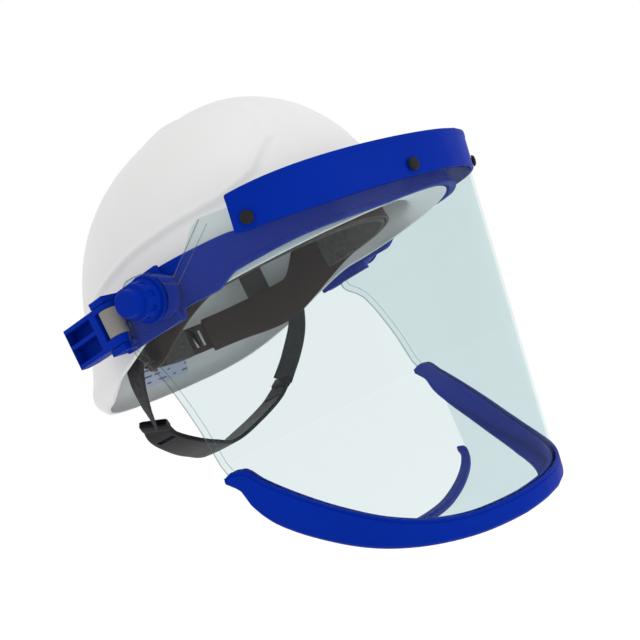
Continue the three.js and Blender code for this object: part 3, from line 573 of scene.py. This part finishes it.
def ridge_height(y, z):
    """How far a point of the shell's side stands out, from its distance to the ridge line."""
    best = 1e9
    inside = 0
    for (y0, z0), (y1, z1) in zip(RIDGE, RIDGE[1:]):
        run, rise = y1 - y0, z1 - z0
        share = clamp01(((y - y0) * run + (z - z0) * rise) / (run * run + rise * rise))
        gap = math.hypot(y - y0 - share * run, z - z0 - share * rise)
        if gap < best:
            best = gap
            inside = run * (z - z0) - rise * (y - y0)
    step = 0.7 * smooth_step(best if inside > 0 else -best, -1.8, 1.8)
    bead = 0.9 * math.exp(-((best / 1.9) ** 2))
    if inside > 0:
        return step + bead
    second_bead = 0.5 * math.exp(-(((best - 6) / 1.7) ** 2)) * smooth_step(z, 40, 60)
    return step + bead + second_bead


def panel_step(turn, share, point):
    """How the outer face moves inwards here. It fades out at the rim and along the middle."""
    if abs(point.x) <= 12:
        return Vector((0, 0, 0))
    ahead = shell_point(turn + 0.01, share, False) - shell_point(turn - 0.01, share, False)
    higher, lower = min(share + 0.01, 0.99), max(share - 0.01, 0)
    above = shell_point(turn, higher, False) - shell_point(turn, lower, False)
    normal = ahead.cross(above).normalized()
    outwards = math.copysign(1, normal.dot(point - Vector((0, 0, -20))))
    fade = smooth_step(abs(point.x), 12, 40) * smooth_step(share, 0.02, 0.1)
    return normal * outwards * -PANEL_STEP * fade * (1 - ridge_height(point.y, point.z))


def helmet_shell():
    size, row_count = 360, 110
    rows = [(i / row_count) ** 1.2 for i in range(row_count)]
    turns = [2 * math.pi * i / size for i in range(size)]
    points = []
    for share in reversed(rows):
        for turn in turns:
            point = shell_point(turn, share, False)
            points.append(point + panel_step(turn, share, point))
    points += [shell_point(turn, share, True) for share in rows for turn in turns]
    faces = ring_faces(2 * row_count, size)
    last = (2 * row_count - 1) * size
    points += [Vector((0, SHELL["centre"], z)) for z in (CROWN_Z, CROWN_Z - SHELL["wall"])]
    for i in range(size):
        after = (i + 1) % size
        faces += [(last + size, after, i), (last + size + 1, last + i, last + after)]
    made = new_mesh("shell_moulding", points, faces, WHITE, crease=50)
    soften_rim(made)
    finish(made, "helmet", "shell_white", "helmet_shell")


def soften_rim(made):
    bm = bmesh.new()
    bm.from_mesh(made.data)
    bevel_edges(bm, 50, 0.9, 3, 0.5)
    mark_smooth(bm, 60)
    bm.to_mesh(made.data)
    bm.free()


# ---------------------------------------------------------------- visor
BAND = {
    "rear_y": -62, "wall": 1.6, "lip": 1.8,
    "rear_low": 16.6, "front_low": 21.4, "rear_high": 36, "front_high": 42.3,
}
TRIM = {"tip_y": -20, "wall": 2, "floor": 2, "chamfer": 2.4, "ledge": 9, "ledge_y": -39}
CHIN_EDGE = {"half": 70, "rear_y": -61, "depth": 12, "rear_z": -151, "drop": 13, "round": 1.7}
GUARD = {"rear_y": -41, "wall": 1.5, "sag": 5}

# Edges of the lens and its trim as marks of (y, z), from the rear to the front.
LENS_HIGH = [
    (18.4, -17.5), (17.4, -8), (15, 2), (10, 9.6), (5.6, 12.6), (0, 13.5), (-6, 13.5), (-26, 7),
    (-47.5, 29.4), (-61, 30.2),
]
LENS_LOW = [
    (18.4, -20.5), (17.4, -25), (15, -28), (10, -31.5), (5, -36), (0, -44), (-3.5, -51), (-8.5, -62),
    (-12.5, -72), (-16, -83), (-18.8, -92), (-21.6, -97),
]
TRIM_HIGH = [
    (-20, -98.4), (-22.5, -96.2), (-26, -95.2), (-31, -95.3), (-40, -102.6), (-55.5, -114.3), (-71, -125.5),
    (-90, -138), (-106, -145.8), (-120, -149.8), (-134, -151.4),
]
TRIM_LOW = [
    (-20, -101), (-23.4, -103.6), (-28, -107.6), (-31, -115), (-39, -124.7), (-47, -130.8), (-55.6, -136.4),
    (-75, -147.6), (-86.5, -152.8), (-103, -158.3), (-121, -162.3), (-134, -163.8),
]


def band_share(y):
    return clamp01((y - BAND["rear_y"]) / (LENS_FRONT - BAND["rear_y"]))


def band_low(y):
    return BAND["rear_low"] + (BAND["front_low"] - BAND["rear_low"]) * band_share(y) ** 1.2


def band_high(y):
    rise = BAND["front_high"] - BAND["rear_high"]
    return BAND["rear_high"] + rise * (1 - (1 - band_share(y)) ** 3)


def trim_ledge(y):
    """How far the trim's floor reaches inwards to carry the chin guard."""
    return TRIM["ledge"] * clamp01((TRIM["ledge_y"] - y) / 70) ** 0.8


def fine_stations(plan, rear, marks=(), gap=0.5):
    """Closely spaced stations that also pass through the outline's own corners."""
    ys = plan_stations(plan, rear, 56, 16) + [y for y in marks if y <= rear] + [rear]
    ys.sort(reverse=True)
    return [y for i, y in enumerate(ys) if i == 0 or ys[i - 1] - y > gap]


def top_band():
    clear = LENS_WALL / 2 + GAP
    outer = clear + BAND["wall"]

    def section(y):
        low, high = band_low(y), band_high(y)
        under = high - BAND["lip"]
        profile = [
            (outer, low), (outer, high - 3.4), (outer + 0.35, high - 2.8), (outer + 0.35, high),
            (-clear - 1.4, high), (-clear - 1.4, under), (clear, under), (clear, low),
        ]
        return rounded(profile, (0.5, 0.2, 0.2, 0.9, 0.6, 0.3, 0.1, 0.2))

    ys = fine_stations(LENS_PLAN, BAND["rear_y"] - 1)
    made = wrapped("band_moulding", LENS_PLAN, ys, section, BLUE, end_round=1.0, crease=50)
    finish(made, "visor", "carrier_blue", "top_band")


def bottom_trim():
    """A channel that holds the lens, with a fine groove below the upper edge of its face."""
    clear = LENS_WALL / 2 + GAP
    outer = clear + TRIM["wall"]
    groove_in = outer - 0.45

    def section(y):
        low, high = smooth_along(TRIM_LOW, y), smooth_along(TRIM_HIGH, y)
        floor = min(low + TRIM["floor"], high - 0.4)
        bevel = min(TRIM["chamfer"], (floor - low) * 1.2, (high - low) / 3)
        ledge = -outer - trim_ledge(y)
        groove = min(1.0, (high - low) / 8)
        face = [
            (outer - bevel, low), (outer, low + bevel), (outer, high - 2.2 * groove),
            (groove_in, high - 1.9 * groove), (groove_in, high - 1.4 * groove),
            (outer, high - 1.1 * groove), (outer, high),
        ]
        channel = [(clear, high), (clear, floor), (-clear, floor), (-clear, high - 0.2)]
        back = [(-outer, high - 0.2), (-outer, floor + 0.1), (ledge, floor), (ledge - 0.1, low)]
        radii = (1.2, 1.0, 0.1, 0.1, 0.1, 0.1, 0.5, 0.2, 0.1, 0.1, 0.2, 0.5, 0.2, 0.5, 0.5)
        return rounded(face + channel + back, radii, 2)

    marks = [y for y, _ in TRIM_HIGH + TRIM_LOW]
    ys = fine_stations(LENS_PLAN, TRIM["tip_y"] - 0.8, marks)
    made = wrapped("trim_moulding", LENS_PLAN, ys, section, BLUE, end_round=0.8, crease=50)
    finish(made, "visor", "carrier_blue", "bottom_trim")


def lens_low(y):
    if y < -22:
        return min(-97.5, smooth_along(TRIM_LOW, y) + TRIM["floor"] + GAP)
    return smooth_along(LENS_LOW, y)


def lens_high(y):
    if y < BAND["rear_y"]:
        return band_high(y) - BAND["lip"] - GAP
    return smooth_along(LENS_HIGH, y)


def visor_lens():
    half, flat = LENS_WALL / 2, LENS_WALL / 5
    rows, edge = 12, 0.45

    def section(y):
        low, high = lens_low(y), lens_high(y)
        inside = [low + (high - low) * i / rows for i in range(1, rows)]
        heights = [low + edge, *inside, high - edge]
        outer = [(half, z) for z in heights]
        inner = [(-half, z) for z in reversed(heights)]
        return [*outer, (flat, high), (-flat, high), *inner, (-flat, low), (flat, low)]

    marks = [y for y, _ in LENS_HIGH + LENS_LOW] + [BAND["rear_y"] + 0.3, -33, -28, -23.6]
    ys = fine_stations(LENS_PLAN, LENS_HIGH[0][0], marks, 0.3)
    made = wrapped("visor_sheet", LENS_PLAN, ys, section, CLEAR, crease=40)
    finish(made, "visor", "lens_clear", "visor_lens")


def lens_edge_lines():
    """The polished cut edge and a fine bead 5 mm inside it, down the rear of each side of the lens, as thin
    raised strips of darker clear sheet. Their darker tint is painted shade for the lines that the edge and
    the bead show.
    """
    edge = [Vector(p) for p in [*reversed(LENS_LOW), *LENS_HIGH[:-1]]]
    for name, side in SIDES.items():
        for label, inset, width in (("cut", 0.6, 0.8), ("bead", 5.0, 0.45)):
            sections = []
            for i, here in enumerate(edge):
                run = (edge[min(i + 1, len(edge) - 1)] - edge[max(i - 1, 0)]).normalized()
                inwards = Vector((-run.y, run.x))
                corners = []
                for across, out in ((-1, 0.05), (-0.5, 0.25), (0.5, 0.25), (1, 0.05)):
                    spot = here + inwards * (inset + across * width / 2)
                    x, y = plan_point(LENS_PLAN, side, spot.x, LENS_WALL / 2 + out)
                    corners.append(worn(x, y, spot.y))
                sections.append(corners)
            made = ribbon(f"lens_{label}_line_{name}", sections, PAINTED_EDGE_SHADE, 60)
            finish(made, "visor", "lens_clear")


def chin_edge(share, forward=0.0):
    """The free edge of the chin guard, an arc across the throat. share runs from -1 to 1."""
    angle = share * math.pi / 2
    bulge = math.cos(angle) ** (2 / CHIN_EDGE["round"])
    x = CHIN_EDGE["half"] * signed_power(math.sin(angle), 2 / CHIN_EDGE["round"])
    y = CHIN_EDGE["rear_y"] - CHIN_EDGE["depth"] * bulge - forward
    return Vector((x, y, CHIN_EDGE["rear_z"] - CHIN_EDGE["drop"] * bulge))


def guard_outer(share):
    """The guard's outer edge, which rests on the trim's ledge."""
    angle = abs(share) * math.pi / 2
    bulge = 1 - math.cos(angle) ** (2 / LENS_PLAN["ry"])
    y = LENS_FRONT + (GUARD["rear_y"] - LENS_FRONT) * bulge
    inward = -(LENS_WALL / 2 + GAP + TRIM["wall"] + trim_ledge(y) + 0.6)
    x, py = plan_point(LENS_PLAN, math.copysign(1, share), y, inward)
    return Vector((0 if abs(share) < 1e-6 else x, py, smooth_along(TRIM_LOW, y) + TRIM["floor"]))


def chin_guard():
    across, deep = 72, 12
    down = Vector((0, 0, -1))
    sections = []
    for i in range(across + 1):
        share = 2 * i / across - 1
        outer, inner = guard_outer(share), chin_edge(share, 3.5)
        steps = [k / deep for k in range(deep + 1)]
        line = [outer.lerp(inner, t) + down * GUARD["sag"] * t * (1 - t) for t in steps]
        under = [p + down * GUARD["wall"] for p in reversed(line)]
        sections.append([worn(*p) for p in line + under])
    finish(ribbon("guard_sheet", sections, CLEAR, 40), "visor", "lens_clear", "chin_guard")


def chin_guard_trim():
    across, half, tall = 72, 3.2, 2.2
    corners = [(-half, -tall), (half, -tall), (half, tall), (-half, tall)]
    outline = rounded(corners, (1.4,) * 4, 4)
    sections = []
    for i in range(across + 1):
        middle = chin_edge(2 * i / across - 1) - Vector((0, 0, 0.7))
        sections.append([worn(middle.x, middle.y + p.x, middle.z + p.y) for p in outline])
    sections = round_ends(sections, 1.2)
    finish(ribbon("guard_rim", sections, BLUE, 50), "visor", "carrier_blue", "chin_guard_trim")


# ---------------------------------------------------------------- carrier
ARM = {"rear_y": 36, "wall": 2.4, "lip": 2.2, "lip_out": 1.8, "lip_y": -16}

# The arm's lower and upper edges as marks of (y, z).
ARM_LOW = [
    (36, -13.5), (26, -16), (-9, -17.4), (-12, -12.6), (-33, -13.4), (-46, -8.8), (-73, -8.4), (-115, -12),
]
ARM_HIGH = [(36, 14.6), (-11, 13.6), (-32, 12.3), (-50, 10.7), (-62, 7.4), (-90, 5), (-115, 4)]


def carrier_bracket():
    """The arms and the bridge in one wall, with a lip along the lower edge ahead of the end plates."""
    inner = -ARM["wall"]

    def section(y):
        low, high = smooth_along(ARM_LOW, y), smooth_along(ARM_HIGH, y)
        lip = low + ARM["lip"]
        out = min(ARM["lip_out"], max(0, (ARM["lip_y"] - y) / 4))
        profile = [(out, low), (out, lip), (0, lip + 1), (0, high), (inner, high), (inner, low)]
        return rounded(profile, (0.6, 0.5, 0.8, 0.8, 0.8, 0.4))

    marks = [y for y, _ in ARM_LOW + ARM_HIGH]
    ys = fine_stations(ARM_PLAN, ARM["rear_y"], marks)
    made = wrapped("carrier_moulding", ARM_PLAN, ys, section, BLUE, lean=False, crease=50)
    cut_bores(made, ARM_PLAN["half"], PIVOT.y, PIVOT.z)
    finish(made, "helmet", "carrier_blue", "carrier_bracket")


def cut_bores(made, x, y, z):
    """Round bores along X through both sides of a piece."""
    def fill(bm):
        for side in SIDES.values():
            middle = Matrix.Translation(Vector((side * x, y, z)) * MM)
            bmesh.ops.create_cone(
                bm, cap_ends=True, segments=32, radius1=BOLT_BORE * MM, radius2=BOLT_BORE * MM,
                depth=20 * MM, matrix=middle @ Matrix.Rotation(math.pi / 2, 4, "Y"),
            )

    cut_away(made, fill)


# ---------------------------------------------------------------- suspension and chin strap
HEADBAND = {
    "half": 79, "front": 90, "rear": 92, "centre": 8, "wall": 2,
    "low": -22, "high": 3,  # at the nape
    "lift": 15, "brow_lift": 19,  # how much higher the two edges are at the brow
}
NAPE_TURN = 0.62  # the nape band ends this far round from the rear
CROWN_RING = {"edge": 17.3, "z": 74.6, "centre": 4}
CLIP_TURNS = {"front_right": -1.85, "front_left": 1.85, "rear_right": -0.98, "rear_left": 0.98}
CROWN_TAPE = {"width": 18, "wall": 1.4}


def oval_point(turn, offset):
    """A point on the headband's oval, 0 at the rear and pi at the front, moved outwards by offset."""
    reach = HEADBAND["rear"] if math.cos(turn) > 0 else HEADBAND["front"]
    x = (HEADBAND["half"] + offset) * math.sin(turn)
    return x, HEADBAND["centre"] + (reach + offset) * math.cos(turn)


def oval_band(name, start, end, steps, outline, material, crease=50):
    """A band on the headband's oval; outline(turn) gives its section as (offset, z)."""
    sections = []
    for i in range(steps + 1):
        turn = start + (end - start) * i / steps
        sections.append([(*oval_point(turn, offset), z) for offset, z in outline(turn)])
    return ribbon(name, round_ends(sections, 0.7), material, crease)


def from_rear(turn):
    """How far round from the rear a turn is, on either side."""
    return math.pi - abs(abs(turn) - math.pi)


def headband_low(turn):
    return HEADBAND["low"] + HEADBAND["lift"] * smooth_step(from_rear(turn), 1.1, 1.95)


def headband_high(turn):
    return HEADBAND["high"] + HEADBAND["brow_lift"] * smooth_step(from_rear(turn), 1.2, 1.45)


def headband():
    """A moulded strip with a shallow panel between two raised edges."""
    wall = HEADBAND["wall"]
    panel = wall - 0.5

    def outline(turn):
        foot = headband_low(turn) - 4 * math.exp(-(((from_rear(turn) - 1.05) / 0.3) ** 2))
        high = headband_high(turn)
        profile = [
            (0, foot), (wall, foot), (wall, foot + 3), (panel, foot + 3.8), (panel, high - 3.8),
            (wall, high - 3), (wall, high), (0, high),
        ]
        return rounded(profile, (0.7, 0.7, 0.4, 0.4, 0.4, 0.4, 0.7, 0.7), 2)

    end = NAPE_TURN - 0.2
    made = oval_band("headband_strip", end, 2 * math.pi - end, 132, outline, HARNESS)
    finish(made, "helmet", "harness_brown", "headband")


def padded_band(name, start, end, steps, inner, outer, low, high, body, node):
    """A foam pad in a sewn cover: crowned between its seams, with a stitch channel near each long edge."""
    corners = 40
    centre_z = (low + high) / 2

    def outline(turn):
        share = clamp01((turn - start) / (end - start))
        round_off = min(1, (4 * share * (1 - share)) ** 0.35 + 0.02)
        seam = 1 - 0.16 * math.exp(-(((share - 0.5) * 26) ** 2))
        puff = (outer - inner) * 0.5 * round_off * seam
        half = (high - low) / 2 * (0.9 + 0.1 * round_off)
        points = []
        for k in range(corners):
            across, tall = math.cos(2 * math.pi * k / corners), math.sin(2 * math.pi * k / corners)
            z = centre_z + half * signed_power(tall, 0.55)
            channel = 0.75 if 0.68 < abs(z - centre_z) / half < 0.8 else 1
            wrinkle = 1 + 0.04 * math.sin(turn * 90 + z * 0.6) * (1 - abs(tall))
            offset = puff * signed_power(across, 0.7) * channel * wrinkle
            points.append(((inner + outer) / 2 + offset, z))
        return points

    made = oval_band(name, start, end, steps, outline, PAD, 80)
    finish(made, body, "pad_grey", node)


def crown_straps():
    """Webbing from each clip on the headband up to the crown ring."""
    steps = 48
    centre = Vector((0, CROWN_RING["centre"], 0))
    for place, turn in CLIP_TURNS.items():
        foot = Vector((*oval_point(turn, HEADBAND["wall"] + GAP), 0)) - centre
        reach = foot.length
        out, side = foot / reach, Vector((-foot.y, foot.x, 0)) / reach
        start = headband_high(turn) + GAP
        sections = []
        for i in range(steps + 1):
            angle = math.pi / 2 * i / steps
            r = CROWN_RING["edge"] + (reach - CROWN_RING["edge"]) * math.cos(angle) ** 0.8
            z = start + (CROWN_RING["z"] - start) * math.sin(angle)
            normal = (out * math.cos(angle) * 0.8 + Vector((0, 0, 1)) * math.sin(angle)).normalized()
            base = centre + out * r + Vector((0, 0, z))
            section = tape_section(CROWN_TAPE["width"], CROWN_TAPE["wall"])
            sections.append([base + side * u + normal * v for u, v in section])
        made = ribbon("crown_tape_" + place, sections, TAPE_DARK, 60)
        finish(made, "helmet", "webbing_dark", "crown_strap_" + place)


def tape_section(width, thick):
    """The section of a woven tape, a little thicker at its selvedges."""
    half, bead, web = width / 2, width / 2 - 1.1, width / 2 - 2.2
    high, low = thick * 0.86, thick * 0.14
    upper = [(-bead, thick), (-web, high), (web, high), (bead, thick)]
    lower = [(bead, 0), (web, low), (-web, low), (-bead, 0)]
    return [(-half, thick * 0.5), *upper, (half, thick * 0.5), *lower]


STRAP_PIVOT = (88.4, 46, -8)
STRAP = {"width": 14.5, "wall": 1.6, "twist": 0.75}
STRAP_ROUTES = {
    "right": [(-88.4, 41.6, -1), (-88.4, 46, -8), (-87.4, 58, -27), (-81, 68, -44), (-71, 78.4, -54.2)],
    "left": [(88.4, 41.6, -1), (88.4, 46, -8), (88, 57, -30), (82, 70, -48), (68.5, 78.2, -62.6)],
}
CUP_ROUTE = [
    (-68, 80.8, -56.6), (-58, 88, -64), (-42, 92, -73), (-22, 97, -80.5), (0, 101, -86), (28, 93, -81),
    (54, 84, -72.5), (66, 79.4, -65.4),
]
CUP_SLOTS = [(-57, 88.4, -65), (54.5, 83.8, -72.5)]
CUP_SLOT_SIZE = (3, 15.2, 16)
CUP = {"end_half": 8.5, "swell": 6.5, "wall": 2.4}
SLIDE = {"width": 17.2, "length": 8}


def spline_points(route, steps):
    """Evenly spaced points of a centripetal Catmull-Rom curve through the route."""
    marks = [Vector(p) for p in route]
    marks = [2 * marks[0] - marks[1], *marks, 2 * marks[-1] - marks[-2]]
    dense = []
    for a, b, c, d in zip(marks, marks[1:], marks[2:], marks[3:]):
        ta = (b - a).length ** 0.5
        tb = (c - b).length ** 0.5
        tc = (d - c).length ** 0.5
        m1 = ((b - a) / ta - (c - a) / (ta + tb) + (c - b) / tb) * tb
        m2 = ((c - b) / tb - (d - b) / (tb + tc) + (d - c) / tc) * tb
        dense += [hermite(b, m1, c, m2, k / 24) for k in range(24)]
    dense.append(marks[-2])
    lengths = [0.0]
    for p, q in zip(dense, dense[1:]):
        lengths.append(lengths[-1] + (q - p).length)
    out = []
    for i in range(steps + 1):
        goal = lengths[-1] * i / steps
        k = max(j for j in range(len(lengths) - 1) if lengths[j] <= goal + 1e-9)
        share = (goal - lengths[k]) / (lengths[k + 1] - lengths[k])
        out.append(dense[k].lerp(dense[k + 1], min(1, share)))
    return out


def flat_strap(name, route, steps, outline, material, twist=0.0):
    """A flat strap along a route; outline(share) is its section. Its width lies along Y, and turns by
    twist towards the end."""
    points = spline_points(route, steps)
    sections = []
    for i, centre in enumerate(points):
        turn = twist * smooth_step(i / steps, 0.2, 1)
        across = Vector((math.sin(turn), math.cos(turn), 0))
        ahead = (points[min(i + 1, steps)] - points[max(i - 1, 0)]).normalized()
        wide = (across - ahead * across.dot(ahead)).normalized()
        thick = ahead.cross(wide)
        sections.append([centre + wide * u + thick * v for u, v in outline(i / steps)])
    return ribbon(name, sections, material, 60)


def chin_straps():
    def outline(_share):
        section = tape_section(STRAP["width"], STRAP["wall"])
        return [(u, v - STRAP["wall"] / 2) for u, v in section]

    for name, side in SIDES.items():
        route, twist = STRAP_ROUTES[name], -side * STRAP["twist"]
        made = flat_strap("chin_tape_" + name, route, 60, outline, TAPE, twist)
        cut_bores(made, *STRAP_PIVOT)
        finish(made, "chin_harness", "webbing_black", "chin_strap_" + name)


def chin_cup():
    """A moulded cup, widest and a little dished in its middle, with a slot near each end."""
    places = [-1, -0.96, -0.8, -0.5, 0, 0.5, 0.8, 0.96, 1]

    def outline(share):
        swell = math.sin(math.pi * share)
        half = CUP["end_half"] + CUP["swell"] * swell
        middles = [-0.48 * swell * (1 - u * u) for u in places]
        thicks = [CUP["wall"] / 2 - (0.5 if abs(u) == 1 else 0) for u in places]
        upper = [(half * u, m + t) for u, m, t in zip(places, middles, thicks)]
        lower = [(half * u, m - t) for u, m, t in zip(places, middles, thicks)]
        return upper + lower[::-1]

    def slots(bm):
        size = Matrix.Diagonal((*(length * MM for length in CUP_SLOT_SIZE), 1))
        for place in CUP_SLOTS:
            bmesh.ops.create_cube(bm, size=1, matrix=Matrix.Translation(Vector(place) * MM) @ size)

    made = flat_strap("chin_cup_moulding", CUP_ROUTE, 72, outline, BLACK)
    cut_away(made, slots)
    finish(made, "chin_harness", "plastic_black", "chin_cup")


def strap_slides():
    """The slide at each end of the cup, which the strap is threaded through."""
    cup = spline_points(CUP_ROUTE, 20)
    for name, side in SIDES.items():
        strap_end = spline_points(STRAP_ROUTES[name], 20)[-1]
        cup_end, next_point = (cup[0], cup[1]) if side < 0 else (cup[-1], cup[-2])
        ahead = (next_point - cup_end).normalized()
        middle = strap_end.lerp(cup_end, 0.6)
        wide = (Vector((0, 1, 0)) - ahead * ahead.y).normalized()
        thick = ahead.cross(wide)
        reach = SLIDE["length"] / 2
        sections = []
        for share in (-1, -0.8, 0.8, 1):
            half = 2.6 if abs(share) == 1 else 3.2
            corners = [(-reach, -half), (reach, -half), (reach, half), (-reach, half)]
            base = middle + wide * share * SLIDE["width"] / 2
            outline = rounded(corners, (1.5,) * 4, 3)
            sections.append([base + ahead * p.x + thick * p.y * 0.75 for p in outline])
        made = ribbon("strap_slide_" + name, sections, BLACK, 50)
        finish(made, "chin_harness", "plastic_black")


# ---------------------------------------------------------------- small mouldings and metal parts
def hardware():
    """Copies of the small CAD pieces with their corners rounded by the given width."""
    bodies = frame["record"]["behaviour"]["bodies"]
    body_of = {node: body for body, nodes in bodies.items() for node in nodes}
    kinds = [
        ("end_plate_", 0.7, BLUE, "carrier_blue"),
        ("clamp_lever_", 0.7, BLUE, "carrier_blue"),
        ("clamp_knob_", 0.45, BLUE, "carrier_blue"),
        ("pivot_boss_", 0.4, BLUE, "carrier_blue"),
        ("outer_washer_", 0.4, BLUE, "carrier_blue"),
        ("grip_roller_", 0.5, GRIP, "roller_rubber"),
        ("lever_pin_", 0.25, STEEL, "hardware_steel"),
        ("pivot_bolt_", 0.3, STEEL, "hardware_steel"),
        ("band_rivet_", 0.3, RIVET, "rivet_black"),
        ("strap_anchor_", 0.35, HARNESS, "harness_brown"),
        ("suspension_clip_", 0.8, HARNESS, "harness_brown"),
        ("crown_ring", 0.5, HARNESS, "harness_brown"),
        ("nape_band", 0.4, HARNESS, "harness_brown"),
    ]
    for node in NODES:
        for prefix, width, material, slot in kinds:
            if node.startswith(prefix):
                made = bevelled(node, node + "_moulded", width, material)
                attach(made, body_of[node])


def information_sheet():
    """The CAD card stays as it is and is only given its printed look."""
    card = NODES["information_sheet"]
    card.data.materials.clear()
    card.data.materials.append(SHEET)


camera()
studio()
helmet_shell()
visor_lens()
lens_edge_lines()
top_band()
bottom_trim()
chin_guard()
chin_guard_trim()
carrier_bracket()
headband()
padded_band(
    "brow_pad", start=math.pi - 1.5, end=math.pi + 1.5, steps=170, inner=-4.6, outer=-0.3,
    low=-8, high=19, body="helmet", node="front_sweatband",
)
padded_band(
    "nape_foam", start=-0.19, end=0.19, steps=36, inner=-2.6, outer=2,
    low=-20, high=2, body="nape_adjuster", node="nape_pad",
)
crown_straps()
chin_straps()
chin_cup()
strap_slides()
hardware()
information_sheet()
